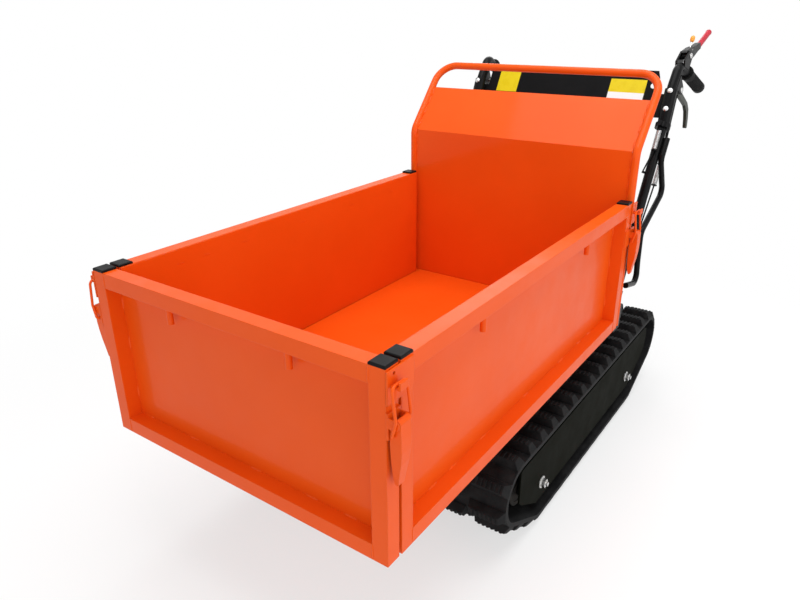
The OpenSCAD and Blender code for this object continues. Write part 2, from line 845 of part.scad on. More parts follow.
module fuel_tank() {
  color(BLACK) engine_frame() translate([-36, 0, tank_z]) {
    translate([-85, -95, 0]) cube([170, 170, 66]);
    translate([-70, -80, 65]) cube([140, 140, 12]);
    translate([-20, -10, 76]) cylinder(r = 22, h = 10);
    both() translate([-44, 40, 150.1 - tank_z]) cube([20, 12, tank_z - 149]);
  }
}

module fuel_cap() {
  color(BLACK) engine_frame() translate([-56, -10, tank_z + 86.3]) {
    cylinder(r = 28, h = 14);
    translate([-26, -4, 13]) cube([52, 8, 8]);
  }
}

module muffler() {
  color(STEEL) engine_frame() translate([-35, 60, 150.1]) {
    translate([-60, 0, 0]) cube([110, 60, 62]);
    translate([30, 1, 26]) rotate([90, 0, 0]) cylinder(r = 13, h = 8.8);
    translate([-70, 30, 30]) rotate([0, -90, 0]) cylinder(r = 12, h = 26);
    translate([-59, 30, 30]) rotate([0, -90, 0]) cylinder(r = 18, h = 13);
  }
}

module air_cleaner() {
  color(BLACK) engine_frame() translate([110.1, -20, 40]) {
    translate([-14, -50, 0]) cube([40, 96, 56]);
    translate([-30, -14, 14]) cube([18, 28, 28]);
  }
}

// Handles and controls

module handlebar(drive) {
  difference() {
    union() {
      rod(on_bar(0), on_bar(clamp_s + 12), bar_r);
      handle() {
        pipe(handle_pts, handle_rs, bar_r);
        rod(2.6*leg_dir(handle_pts, 0), 97*leg_dir(handle_pts, 0), sleeve_r);
        steer_mount();
        if (drive) {
          drive_mount();
        }
      }
    }
    for (y = bolt_y) {
      dash() translate([bar_y, y, -2]) cylinder(r = 4 + fit, h = head_z(y) + 4);
      dash() translate([bar_y, y, head_z(y)]) cylinder(r = 8.3, h = 12);
    }
    handle() {
      translate([steer_pivot[0], steer_pivot[1], -20]) cylinder(r = 4 + fit, h = 40);
      if (drive) {
        translate([drive_pivot[0], drive_pivot[1], -20]) cylinder(r = 4 + fit, h = 40);
      }
    }
  }
}

// plates welded to the tube that carry the lever pins
module steer_mount() {
  for (z = [-14, 9]) {
    translate([0, 0, z]) linear_extrude(5)
      polygon([[-9, 101], [24, 99], [36, 103], [38, 118], [30, 126], [-5, 142]]);
  }
}

module drive_mount() {
  for (z = [-14, 9]) {
    translate([0, 0, z]) linear_extrude(5)
      polygon([[2, 172], [37, 178], [38, 216], [32, 226], [22, 229], [11, 224], [-7, 184]]);
  }
}

module handlebars() {
  color(BLACK) place() {
    handlebar(true);
    mirror([0, 1, 0]) handlebar(false);
  }
}

module handle_braces() {
  r = 8;
  y = bar_y + bar_r + r + 0.1;
  color(BLACK) place() both() pipe([for (p = [[308, 460], [274, 405], [340, 303], [172, 222], [179, 134],
    [193, 66], [92, 90]]) [-(box_l + p[0]), y, p[1]]], [0, 22, 24, 24, 60, 22, 0], r);
}

module handle_clamps() {
  color(BLACK) place() both() handle() {
    translate([0, -14, 0]) rotate([-90, 0, 0]) difference() {
      union() {
        cylinder(r = 21, h = 13.8);
        translate([-28, -5, 0]) cube([56, 10, 13.8]);
      }
      translate([0, 0, -1]) cylinder(r = bar_r + 0.05, h = 16);
    }
  }
}

module dash_panel() {
  flange = [dash_l + dash_r - 40, 2, 17];
  color(BLACK) place() dash() difference() {
    union() {
      linear_extrude(2) polygon([[-dash_r, dash_low], [dash_l, dash_low], [dash_l, dash_top - 21],
        [dash_l - 8, dash_top], [8 - dash_r, dash_top], [-dash_r, dash_top - 21]]);
      translate([-bar_y - 12, bolt_y[0] - 12, 0]) cube([2*bar_y + 24, bolt_y[1] - bolt_y[0] + 21, 2]);
      for (y = [dash_low, dash_top - 2]) {
        translate([20 - dash_r, y, 1 - flange[2]]) cube(flange);
      }
      for (x = [-bar_y, bar_y], y = bolt_y) {
        translate([x, y, 1]) cylinder(r = 8, h = spacer_z(y) - 1);
      }
    }
    translate([dash_l - 12, 96, -1]) cylinder(r = 9, h = 4);
    for (x = [-bar_y, bar_y], y = bolt_y) {
      translate([x, y, -1]) cylinder(r = 4 + fit, h = spacer_z(y) + 2);
    }
  }
}

// two blank yellow plates
module dash_plates() {
  color([0.97, 0.86, 0.12]) place() dash() {
    translate([52 - bar_y, 52, 2.1]) cube([71, 70, 0.8]);
    translate([bar_y - 188, 34, 2.1]) cube([106, 77, 0.8]);
  }
}

module button_head() {
  translate([0, 0, 0.05]) rotate_extrude()
    polygon([[0, 0], [7.5, 0], [7.5, 1.5], [6, 3.2], [3.5, 4.2], [0, 4.4]]);
}

// pin of a hand lever with a head and a nut
module lever_pin(p) {
  translate([p[0], p[1], -16]) cylinder(r = 4, h = 31);
  translate([p[0], p[1], 14]) button_head();
  translate([p[0], p[1], -19]) cylinder(r = 7, h = 4.9, $fn = 6);
}

module handle_bolts() {
  color(STEEL) place() {
    both() {
      dash() for (y = bolt_y) {
        translate([bar_y, y, 0]) {
          translate([0, 0, -5]) cylinder(r = 4, h = head_z(y) + 6);
          translate([0, 0, -6.1]) cylinder(r = 6.5, h = 6, $fn = 6);
          translate([0, 0, head_z(y)]) button_head();
        }
      }
      handle() lever_pin(steer_pivot);
    }
    handle() lever_pin(drive_pivot);
  }
}

module grips() {
  color(RUBBER) place() both() handle() {
    a = atan2(grip_dir[1], grip_dir[0]);
    translate(grip_start) rotate([0, 0, a - 90]) rotate([-90, 0, 0]) difference() {
      rotate_extrude() polygon([[0, 0], [grip_r + 3, 0], [grip_r + 3, 5], [grip_r, 8], [grip_r, 30],
        [grip_r - 1.5, 34], [grip_r - 1.5, grip_l - 24], [grip_r, grip_l - 20], [grip_r, grip_l - 4],
        [grip_r - 4, grip_l + 2], [0, grip_l + 2]]);
      translate([0, 0, -1]) cylinder(r = bar_r + 0.05, h = grip_l - 4 + 1.3);
    }
  }
}

// hand lever under the grip, drawn on the left side
module steering_lever() {
  p = steer_pivot;
  color([0.4, 0.42, 0.4]) place() handle() translate([p[0], p[1], -8]) difference() {
    union() {
      cylinder(r = 10, h = 16);
      translate([0, 0, 3.5]) linear_extrude(9) {
        polygon([[0, -9], [84, -8], [104, -17], [120, -35], [131, -52], [142, -47], [133, -28], [116, -4],
          [94, 6], [0, 9]]);
        translate([136.5, -49.5]) circle(r = 5.8);
      }
    }
    translate([0, 0, -1]) cylinder(r = 4 + fit, h = 18);
  }
}

module steering_lever_left() {
  steering_lever();
}

module steering_lever_right() {
  mirror([0, 1, 0]) steering_lever();
}

// drive lever's own frame, at its pin
module lever_frame() {
  handle() translate([drive_pivot[0], drive_pivot[1], 0]) children();
}

// drive clutch lever on the left handle with its sleeve
module drive_lever() {
  color([0.75, 0.12, 0.14]) place() lever_frame() difference() {
    union() {
      translate([0, 0, -8]) linear_extrude(16) {
        circle(r = 10);
        polygon([[-8, -3], [-19, 0], [-17, 8], [3, 27], [30, 46], [60, 72], [73, 61], [57, 43], [44, 24],
          [30, 7], [7, -6]]);
      }
      rod(sleeve_at[0], sleeve_at[1], 8);
      translate(sleeve_at[1]) sphere(r = 8.7);
    }
    translate([0, 0, -20]) cylinder(r = 4 + fit, h = 40);
    translate([catch_at[0], catch_at[1], -20]) cylinder(r = 2 + fit, h = 40);
    translate([catch_at[0] - 12, catch_at[1] - 8, -2.9]) cube([24, 40, 5.8]);
  }
}

module lock_catch() {
  color(ORANGE) place() lever_frame() translate([catch_at[0], catch_at[1], 0]) {
    translate([0, 0, -9]) cylinder(r = 2, h = 18);
    translate([0, 0, -2.5]) cylinder(r = 5, h = 5);
    translate([0, 3, 0]) rotate([-90, 0, 0]) cylinder(r = 1.6, h = 22);
    translate([0, 24, 0]) rotate([-90, 0, 0]) rotate_extrude()
      polygon([[0, 0], [4, 0], [6, 4], [6.6, 9], [5.6, 15], [3, 18], [0, 18]]);
  }
}

// control links: each has a tension spring between an upper and a lower rod
spring_r = 5.7;
spring_wire = 1.3;
spring_pitch = 3.4;
function off_bar(s, f, y) = on_bar(s) + [f*bar_u[2], y, -f*bar_u[0]];
spring_f = [off_bar(clamp_s - 84, 21.4, 0), off_bar(clamp_s - 26, 21.4, 0)];
spring_b = [off_bar(clamp_s - 154, -70, 3), off_bar(clamp_s - 92, -70, 3)];
function curls(sp) = floor((norm(sp[1] - sp[0]) - 2*spring_wire)/spring_pitch);
function coil_dir(a) = unit([-spring_r*sin(a)*2*PI, spring_r*cos(a)*2*PI, spring_pitch]);
function coil_mid(i) = [spring_r*cos(45*i), spring_r*sin(45*i), spring_pitch*i/8 + spring_wire];
function coil_ring(c, i) = [for (k = [0 : 5]) c + spring_wire*(cos(60*k)*[cos(45*i), sin(45*i), 0]
  + sin(60*k)*cross(coil_dir(45*i), [cos(45*i), sin(45*i), 0]))];
coil_gap = min([for (i = [5 : 11]) norm(coil_mid(i) - coil_mid(0))]) - 2*spring_wire;
echo(coil_gap = coil_gap);

// one unbroken tube of n curls with a straight end at either side
module coil(n) {
  last = 8*n;
  ends = 2*spring_wire;
  rings = concat([coil_ring(coil_mid(0) - ends*coil_dir(0), 0)],
    [for (i = [0 : last]) coil_ring(coil_mid(i), i)], [coil_ring(coil_mid(last) + ends*coil_dir(0), last)]);
  m = len(rings);
  sides = [for (j = [0 : m - 2], k = [0 : 5]) each let (a = 6*j + k, b = 6*j + (k + 1)%6)
    [[a, a + 6, b + 6], [a, b + 6, b]]];
  caps = [[for (k = [0 : 5]) k], [for (k = [5 : -1 : 0]) 6*(m - 1) + k]];
  polyhedron([for (q = rings) each q], concat(sides, caps));
}

// along a spring from its lower end
module spring_axis(sp) {
  v = sp[1] - sp[0];
  translate(sp[0]) rotate([0, acos(v[2]/norm(v)), atan2(v[1], v[0])]) children();
}

module spring_seats(sp) {
  spring_axis(sp) {
    translate([0, 0, -3]) cylinder(r = spring_r + 2, h = 2.5);
    translate([0, 0, curls(sp)*spring_pitch + 2*spring_wire + 0.5]) cylinder(r = spring_r + 2, h = 2.5);
  }
}

function spring_top(sp) = sp[0] + unit(sp[1] - sp[0])*(curls(sp)*spring_pitch + 2*spring_wire + 2);
function in_handle(p) = on_bar(clamp_s) + p[0]*bar_w + p[1]*bar_u + p[2]*bar_n;

module control_cables() {
  peg = clamp_s - 147;
  color(BLACK) place() {
    spring_seats(spring_f);
    rod(spring_f[0] - bar_u*2, off_bar(peg, 10.4, -17), 2);
    rod(off_bar(peg, 6.9, -11.4), off_bar(peg, 11, -18), 3.4);
    rod(spring_top(spring_f), off_bar(clamp_s - 15.2, 17.4, 0), 2.2);
    both() {
      spring_seats(spring_b);
      rod(spring_b[0] - bar_u*2, off_bar(40, -bar_r - 7.2, 0), 2.2);
      rod(spring_top(spring_b), in_handle([64, 112, -12.4]), 4);
    }
  }
}

module control_springs() {
  color(STEEL) place() {
    spring_axis(spring_f) coil(curls(spring_f));
    both() spring_axis(spring_b) coil(curls(spring_b));
  }
}

bed_floor();
bed_subframe();
headboard_panel();
headboard_hoop();
headboard_catches();
front_gate_frame();
front_gate_panel();
front_gate_caps();
front_latch_brackets();
left_gate_frame();
left_gate_panel();
left_gate_caps();
left_gate_fittings();
right_gate_frame();
right_gate_panel();
right_gate_caps();
right_gate_fittings();
latch_lever_fl();
latch_lever_fr();
latch_lever_rl();
latch_lever_rr();
latch_bail_fl();
latch_bail_fr();
latch_bail_rl();
latch_bail_rr();
chassis_frame();
track_beams();
belt_left();
belt_right();
track_covers();
track_bolts();
sprocket_left();
sprocket_right();
idler_left();
idler_right();
roller_lf();
roller_lr();
roller_rf();
roller_rr();
gearbox();
engine_block();
engine_cover();
fuel_tank();
fuel_cap();
muffler();
air_cleaner();
starter_handle();
handlebars();
handle_braces();
handle_clamps();
dash_panel();
dash_plates();
handle_bolts();
grips();
steering_lever_left();
steering_lever_right();
drive_lever();
lock_catch();
control_cables();
control_springs();
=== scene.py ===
import math
import bmesh
import bpy
from mathutils import Matrix, Vector


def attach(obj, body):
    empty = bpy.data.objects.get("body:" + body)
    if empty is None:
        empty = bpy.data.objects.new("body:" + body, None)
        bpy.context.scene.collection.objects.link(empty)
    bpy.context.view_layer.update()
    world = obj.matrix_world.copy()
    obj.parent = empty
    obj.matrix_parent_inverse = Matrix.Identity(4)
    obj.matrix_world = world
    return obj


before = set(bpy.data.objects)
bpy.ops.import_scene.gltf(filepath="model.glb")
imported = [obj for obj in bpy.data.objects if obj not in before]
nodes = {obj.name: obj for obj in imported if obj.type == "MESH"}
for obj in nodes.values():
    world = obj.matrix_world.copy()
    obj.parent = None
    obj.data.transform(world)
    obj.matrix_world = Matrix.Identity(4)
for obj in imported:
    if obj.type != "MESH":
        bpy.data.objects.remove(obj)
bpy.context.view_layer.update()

scene = bpy.context.scene
scene.view_settings.view_transform = "Standard"
print("carrier loaded,", len(nodes), "nodes")


# small helpers for building node trees

def newFinish(name):
    mat = bpy.data.materials.new(name)
    mat.use_nodes = True
    tree = mat.node_tree
    return mat, tree, tree.nodes["Principled BSDF"]


def feed(tree, socket, value):
    # a socket takes a link or a plain value
    if isinstance(value, bpy.types.NodeSocket):
        tree.links.new(value, socket)
    else:
        socket.default_value = value


def put(tree, kind, sockets=None, **settings):
    node = tree.nodes.new(kind)
    for key, value in settings.items():
        setattr(node, key, value)
    for key, value in (sockets or {}).items():
        feed(tree, node.inputs[key], value)
    return node


def objectPoint(tree):
    return put(tree, "ShaderNodeTexCoord").outputs["Object"]


def noiseOf(tree, where, scale, detail, rough=0.55):
    noise = put(tree, "ShaderNodeTexNoise", {"Vector": where, "Scale": scale, "Detail": detail,
                                             "Roughness": rough})
    return noise.outputs["Fac"]


def cellsOf(tree, where, scale):
    return put(tree, "ShaderNodeTexVoronoi", {"Vector": where, "Scale": scale}).outputs["Distance"]


def spread(tree, value, low, high, outLow=0.0, outHigh=1.0):
    return put(tree, "ShaderNodeMapRange", {"Value": value, "From Min": low, "From Max": high,
                                            "To Min": outLow, "To Max": outHigh}).outputs["Result"]


def mixTone(tree, factor, first, second):
    # on a colour mix, socket 0 is the factor and 6 and 7 are the colours
    return put(tree, "ShaderNodeMix", {0: factor, 6: first, 7: second}, data_type="RGBA").outputs[2]


def calc(tree, kind, a, b, clamp=False):
    return put(tree, "ShaderNodeMath", {0: a, 1: b}, operation=kind, use_clamp=clamp).outputs[0]


def bumpOf(tree, height, depth, strength, normal=None):
    bump = put(tree, "ShaderNodeBump", {"Height": height, "Distance": depth, "Strength": strength})
    if normal is not None:
        tree.links.new(normal, bump.inputs["Normal"])
    return bump.outputs["Normal"]


def softEdge(tree, radius):
    return put(tree, "ShaderNodeBevel", {"Radius": radius}, samples=4).outputs["Normal"]


def cornerMask(tree, soft, gain):
    # how far a softened edge turns away from the face, 0 on flats and 1 on corners
    face = put(tree, "ShaderNodeNewGeometry")
    turn = put(tree, "ShaderNodeVectorMath", {0: soft, 1: face.outputs["Normal"]},
               operation="DOT_PRODUCT")
    return calc(tree, "MULTIPLY", calc(tree, "SUBTRACT", 1.0, turn.outputs["Value"]), gain, True)


# finishes; a noise is (scale, detail, roughness), a band is (from low, high, to low, high),
# a bump is (depth in metres, strength)

powderCoat = {
    "tone": (0.82, 0.096, 0.006, 1), "deep": (0.77, 0.084, 0.004, 1),
    # the edge colour is a lighter orange on corners: partly scuffed paint, partly a painted
    # highlight
    "edge": (0.90, 0.19, 0.045, 1), "edgeRadius": 0.0016, "edgeGain": 2.2,
    "cloud": (3.2, 4.0), "cloudBand": (0.3, 0.7), "smear": (21.0, 5.0),
    "scuffAndHighlightBand": (0.38, 0.68, 0.15, 1.0), "roughBand": (0.3, 0.7, 0.34, 0.46),
    "ripple": (9.0, 1.0), "rippleBump": (0.0022, 0.25),
    "peel": (520.0, 1.5), "peelBump": (0.00006, 0.5),
    "shine": 0.08, "coat": 0.14, "coatRough": 0.10,
}


def makePowderCoat():
    mat, tree, skin = newFinish("orangePowderCoat")
    where = objectPoint(tree)
    cloud = noiseOf(tree, where, *powderCoat["cloud"])
    smear = noiseOf(tree, where, *powderCoat["smear"])
    ripple = noiseOf(tree, where, *powderCoat["ripple"])
    peel = noiseOf(tree, where, *powderCoat["peel"])
    soft = softEdge(tree, powderCoat["edgeRadius"])
    edges = cornerMask(tree, soft, powderCoat["edgeGain"])
    patch = spread(tree, cloud, *powderCoat["cloudBand"])
    base = mixTone(tree, patch, powderCoat["deep"], powderCoat["tone"])
    # lighter orange on the corners in smeared patches, partly scuffed paint and partly a painted
    # highlight along the edges
    scuffAndHighlight = calc(tree, "MULTIPLY", edges, spread(tree, smear, *powderCoat["scuffAndHighlightBand"]), True)
    feed(tree, skin.inputs["Base Color"], mixTone(tree, scuffAndHighlight, base, powderCoat["edge"]))
    feed(tree, skin.inputs["Roughness"], spread(tree, smear, *powderCoat["roughBand"]))
    wave = bumpOf(tree, ripple, *powderCoat["rippleBump"], soft)
    feed(tree, skin.inputs["Normal"], bumpOf(tree, peel, *powderCoat["peelBump"], wave))
    feed(tree, skin.inputs["Coat Normal"], wave)
    skin.inputs["Specular IOR Level"].default_value = powderCoat["shine"]
    skin.inputs["Coat Weight"].default_value = powderCoat["coat"]
    skin.inputs["Coat Roughness"].default_value = powderCoat["coatRough"]
    return mat


paints = {
    "blackTubePaint": {"tone": (0.004, 0.004, 0.0045, 1), "worn": (0.011, 0.011, 0.011, 1),
                       "rough": 0.24, "shine": 0.09},
    "chassisPaint": {"tone": (0.008, 0.008, 0.008, 1), "worn": (0.022, 0.021, 0.020, 1),
                     "rough": 0.45, "shine": 0.2},
    "coverPaint": {"tone": (0.0045, 0.0049, 0.0028, 1), "worn": (0.009, 0.009, 0.0065, 1),
                   "rough": 0.62, "shine": 0.02},
    "dashPaint": {"tone": (0.005, 0.005, 0.0054, 1), "worn": (0.011, 0.011, 0.0115, 1),
                  "rough": 0.5, "shine": 0.04},
    "leverPaint": {"tone": (0.030, 0.033, 0.025, 1), "worn": (0.065, 0.068, 0.055, 1),
                   "rough": 0.4, "shine": 0.3},
}
paintGrain = {"dust": (12.0, 6.0, 0.65), "dustBand": (0.42, 0.75, 0, 0.55), "fine": (420.0, 2.0),
              "fineBump": (0.00012, 0.4), "edgeRadius": 0.0012, "edgeGain": 1.6, "edgeWear": 0.7,
              "roughFrom": (0.3, 0.72), "roughLess": 0.07, "roughMore": 0.12}


def makePaint(name):
    # gloss or satin paint on steel, a little dusty, thin at the edges
    paint = paints[name]
    mat, tree, skin = newFinish(name)
    where = objectPoint(tree)
    dust = noiseOf(tree, where, *paintGrain["dust"])
    fine = noiseOf(tree, where, *paintGrain["fine"])
    soft = softEdge(tree, paintGrain["edgeRadius"])
    edges = cornerMask(tree, soft, paintGrain["edgeGain"])
    base = mixTone(tree, spread(tree, dust, *paintGrain["dustBand"]), paint["tone"], paint["worn"])
    wear = calc(tree, "MULTIPLY", edges, paintGrain["edgeWear"])
    feed(tree, skin.inputs["Base Color"], mixTone(tree, wear, base, paint["worn"]))
    feed(tree, skin.inputs["Roughness"],
         spread(tree, dust, *paintGrain["roughFrom"], paint["rough"] - paintGrain["roughLess"],
                paint["rough"] + paintGrain["roughMore"]))
    feed(tree, skin.inputs["Normal"], bumpOf(tree, fine, *paintGrain["fineBump"], soft))
    skin.inputs["Specular IOR Level"].default_value = paint["shine"]
    return mat


blackPlastic = {
    "tone": (0.005, 0.005, 0.0056, 1), "pale": (0.012, 0.0125, 0.013, 1), "shine": 0.08,
    "cloud": (30.0, 4.0), "cloudBand": (0.35, 0.75, 0, 0.5), "roughBand": (0.3, 0.7, 0.36, 0.50),
    "sparkScale": 900.0, "sparkBump": (0.00016, 0.45),
    "edgeRadius": 0.0010, "edgeGain": 1.4, "edgeWear": 0.5,
}


def makePlastic():
    # moulded plastic with a fine spark grain
    mat, tree, skin = newFinish("blackPlastic")
    where = objectPoint(tree)
    cloud = noiseOf(tree, where, *blackPlastic["cloud"])
    spark = cellsOf(tree, where, blackPlastic["sparkScale"])
    soft = softEdge(tree, blackPlastic["edgeRadius"])
    edges = cornerMask(tree, soft, blackPlastic["edgeGain"])
    base = mixTone(tree, spread(tree, cloud, *blackPlastic["cloudBand"]), blackPlastic["tone"],
                   blackPlastic["pale"])
    wear = calc(tree, "MULTIPLY", edges, blackPlastic["edgeWear"])
    feed(tree, skin.inputs["Base Color"], mixTone(tree, wear, base, blackPlastic["pale"]))
    feed(tree, skin.inputs["Roughness"], spread(tree, cloud, *blackPlastic["roughBand"]))
    feed(tree, skin.inputs["Normal"], bumpOf(tree, spark, *blackPlastic["sparkBump"], soft))
    skin.inputs["Specular IOR Level"].default_value = blackPlastic["shine"]
    return mat


trackRubber = {
    "tone": (0.0045, 0.0045, 0.005, 1), "dusty": (0.03, 0.03, 0.03, 1), "shine": 0.12,
    "dust": (26.0, 6.0, 0.7), "dustBand": (0.4, 0.75, 0.0, 0.6), "roughBand": (0.3, 0.7, 0.55, 0.8),
    "fine": (480.0, 3.0), "fineBump": (0.0003, 0.5),
    "edgeRadius": 0.0022, "edgeGain": 1.5, "edgeWear": 0.75,
}


def makeTrackRubber():
    mat, tree, skin = newFinish("trackRubber")
    where = objectPoint(tree)
    dust = noiseOf(tree, where, *trackRubber["dust"])
    fine = noiseOf(tree, where, *trackRubber["fine"])
    soft = softEdge(tree, trackRubber["edgeRadius"])
    edges = cornerMask(tree, soft, trackRubber["edgeGain"])
    patch = spread(tree, dust, *trackRubber["dustBand"])
    base = mixTone(tree, patch, trackRubber["tone"], trackRubber["dusty"])
    wear = calc(tree, "MULTIPLY", edges, trackRubber["edgeWear"])
    feed(tree, skin.inputs["Base Color"], mixTone(tree, wear, base, trackRubber["dusty"]))
    feed(tree, skin.inputs["Roughness"], spread(tree, dust, *trackRubber["roughBand"]))
    feed(tree, skin.inputs["Normal"], bumpOf(tree, fine, *trackRubber["fineBump"], soft))
    skin.inputs["Specular IOR Level"].default_value = trackRubber["shine"]
    return mat


gripRubber = {"tone": (0.005, 0.005, 0.005, 1), "pale": (0.014, 0.014, 0.014, 1), "shine": 0.1,
              "cloud": (40.0, 4.0), "cloudBand": (0.35, 0.75), "roughBand": (0.3, 0.7, 0.5, 0.7),
              "cellScale": 420.0, "cellBump": (0.0004, 0.5)}


def makeGripRubber():
    mat, tree, skin = newFinish("gripRubber")
    where = objectPoint(tree)
    cells = cellsOf(tree, where, gripRubber["cellScale"])
    cloud = noiseOf(tree, where, *gripRubber["cloud"])
    patch = spread(tree, cloud, *gripRubber["cloudBand"])
    base = mixTone(tree, patch, gripRubber["tone"], gripRubber["pale"])
    feed(tree, skin.inputs["Base Color"], base)
    feed(tree, skin.inputs["Roughness"], spread(tree, cloud, *gripRubber["roughBand"]))
    feed(tree, skin.inputs["Normal"], bumpOf(tree, cells, *gripRubber["cellBump"]))
    skin.inputs["Specular IOR Level"].default_value = gripRubber["shine"]
    return mat


metals = {
    "zincPlate": {"tone": (0.62, 0.62, 0.63, 1), "stain": (0.48, 0.47, 0.43, 1),
                  "rough": (0.22, 0.42), "metallic": 1.0, "pits": 0.0},
    "wheelIron": {"tone": (0.05, 0.05, 0.05, 1), "stain": (0.09, 0.075, 0.06, 1),
                  "rough": (0.5, 0.7), "metallic": 0.2, "pits": 0.6},
    "castAlloy": {"tone": (0.42, 0.43, 0.44, 1), "stain": (0.30, 0.30, 0.30, 1),
                  "rough": (0.42, 0.62), "metallic": 0.8, "pits": 0.5},
    "exhaustSteel": {"tone": (0.40, 0.39, 0.37, 1), "stain": (0.24, 0.20, 0.16, 1),
                     "rough": (0.38, 0.6), "metallic": 1.0, "pits": 0.0},
}
metalGrain = {"cloud": (60.0, 5.0, 0.65), "cloudBand": (0.4, 0.72), "roughFrom": (0.3, 0.7),
              "cast": (260.0, 4.0, 0.7), "castDepth": 0.0009, "fine": (900.0, 2.0),
              "fineBump": (0.00008, 0.4), "edgeRadius": 0.0008}


def makeMetal(name):
    # plated, cast or heated metal, stained in patches and pitted where it is cast
    metal = metals[name]
    mat, tree, skin = newFinish(name)
    where = objectPoint(tree)
    cloud = noiseOf(tree, where, *metalGrain["cloud"])
    fine = noiseOf(tree, where, *metalGrain["fine"])
    cast = noiseOf(tree, where, *metalGrain["cast"])
    soft = softEdge(tree, metalGrain["edgeRadius"])
    patch = spread(tree, cloud, *metalGrain["cloudBand"])
    feed(tree, skin.inputs["Base Color"], mixTone(tree, patch, metal["tone"], metal["stain"]))
    feed(tree, skin.inputs["Roughness"],
         spread(tree, cloud, *metalGrain["roughFrom"], *metal["rough"]))
    pitted = bumpOf(tree, cast, metalGrain["castDepth"], metal["pits"], soft)
    feed(tree, skin.inputs["Normal"], bumpOf(tree, fine, *metalGrain["fineBump"], pitted))
    skin.inputs["Metallic"].default_value = metal["metallic"]
    return mat


# plane of the left handle; a place on it is (rearward off the tube, along it from the clamp)
handleFrame = {"clamp": (-0.53766, 0.304, 0.82052), "leanDeg": 30.0, "flareDeg": 7.0}
lean = math.radians(handleFrame["leanDeg"])
flare = math.radians(handleFrame["flareDeg"])
alongBar = Vector((-math.sin(lean), 0, math.cos(lean)))
awayBar = Vector((-math.cos(lean) * math.cos(flare), math.sin(flare),
                  -math.sin(lean) * math.cos(flare)))


def onHandle(away, along):
    return Vector(handleFrame["clamp"]) + awayBar * away + alongBar * along


def splitAlong(tree, where, origin, direction, far):
    # 0 before the given distance along a direction, 1 after it
    reach = put(tree, "ShaderNodeVectorMath", {0: where, 1: tuple(direction)},
                operation="DOT_PRODUCT")
    return calc(tree, "GREATER_THAN", reach.outputs["Value"], origin.dot(direction) + far)


driveLever = {
    "pivot": (0.022, 0.214), "sleeveDeg": 54.4, "sleeveFrom": 0.0935, "shine": 0.2,
    "red": (0.40, 0.012, 0.028, 1), "paleRed": (0.52, 0.03, 0.05, 1), "redBand": (0.35, 0.7),
    "black": (0.005, 0.005, 0.0055, 1), "worn": (0.016, 0.016, 0.016, 1), "blackBand": (0.4, 0.75),
    "cloud": (70.0, 4.0), "roughBand": (0.3, 0.7, 0.3, 0.45),
    "fine": (700.0, 2.0), "fineBump": (0.0001, 0.4), "edgeRadius": 0.0012,
}


def makeDriveLever():
    # black blade with a red sleeve on its end
    mat, tree, skin = newFinish("driveLever")
    where = objectPoint(tree)
    angle = math.radians(driveLever["sleeveDeg"])
    aim = awayBar * math.cos(angle) + alongBar * math.sin(angle)
    sleeve = splitAlong(tree, where, onHandle(*driveLever["pivot"]), aim, driveLever["sleeveFrom"])
    cloud = noiseOf(tree, where, *driveLever["cloud"])
    fine = noiseOf(tree, where, *driveLever["fine"])
    red = mixTone(tree, spread(tree, cloud, *driveLever["redBand"]), driveLever["red"],
                  driveLever["paleRed"])
    black = mixTone(tree, spread(tree, cloud, *driveLever["blackBand"]), driveLever["black"],
                    driveLever["worn"])
    feed(tree, skin.inputs["Base Color"], mixTone(tree, sleeve, black, red))
    feed(tree, skin.inputs["Roughness"], spread(tree, cloud, *driveLever["roughBand"]))
    soft = softEdge(tree, driveLever["edgeRadius"])
    feed(tree, skin.inputs["Normal"], bumpOf(tree, fine, *driveLever["fineBump"], soft))
    skin.inputs["Specular IOR Level"].default_value = driveLever["shine"]
    return mat


lockCatch = {"place": (0.036, 0.240), "knobFrom": 0.0238, "orange": (0.80, 0.27, 0.015, 1),
             "paleOrange": (0.86, 0.36, 0.03, 1), "plate": (0.55, 0.55, 0.57, 1),
             "palePlate": (0.7, 0.69, 0.66, 1), "cloud": (160.0, 4.0), "cloudBand": (0.35, 0.7),
             "roughBand": (0.3, 0.7, 0.25, 0.4)}


def makeLockCatch():
    # plated pin with an orange knob
    mat, tree, skin = newFinish("lockCatch")
    where = objectPoint(tree)
    knob = splitAlong(tree, where, onHandle(*lockCatch["place"]), alongBar, lockCatch["knobFrom"])
    cloud = noiseOf(tree, where, *lockCatch["cloud"])
    patch = spread(tree, cloud, *lockCatch["cloudBand"])
    bright = mixTone(tree, patch, lockCatch["orange"], lockCatch["paleOrange"])
    plated = mixTone(tree, patch, lockCatch["plate"], lockCatch["palePlate"])
    feed(tree, skin.inputs["Base Color"], mixTone(tree, knob, plated, bright))
    feed(tree, skin.inputs["Metallic"], calc(tree, "SUBTRACT", 1.0, knob))
    feed(tree, skin.inputs["Roughness"], spread(tree, cloud, *lockCatch["roughBand"]))
    return mat


blankPlate = {"yellow": (0.72, 0.57, 0.010, 1), "deep": (0.68, 0.52, 0.008, 1),
              "white": (0.80, 0.81, 0.81, 1), "stripTop": 0.893, "cloud": (45.0, 4.0),
              "cloudBand": (0.35, 0.7), "roughBand": (0.3, 0.7, 0.22, 0.36), "shine": 0.1}


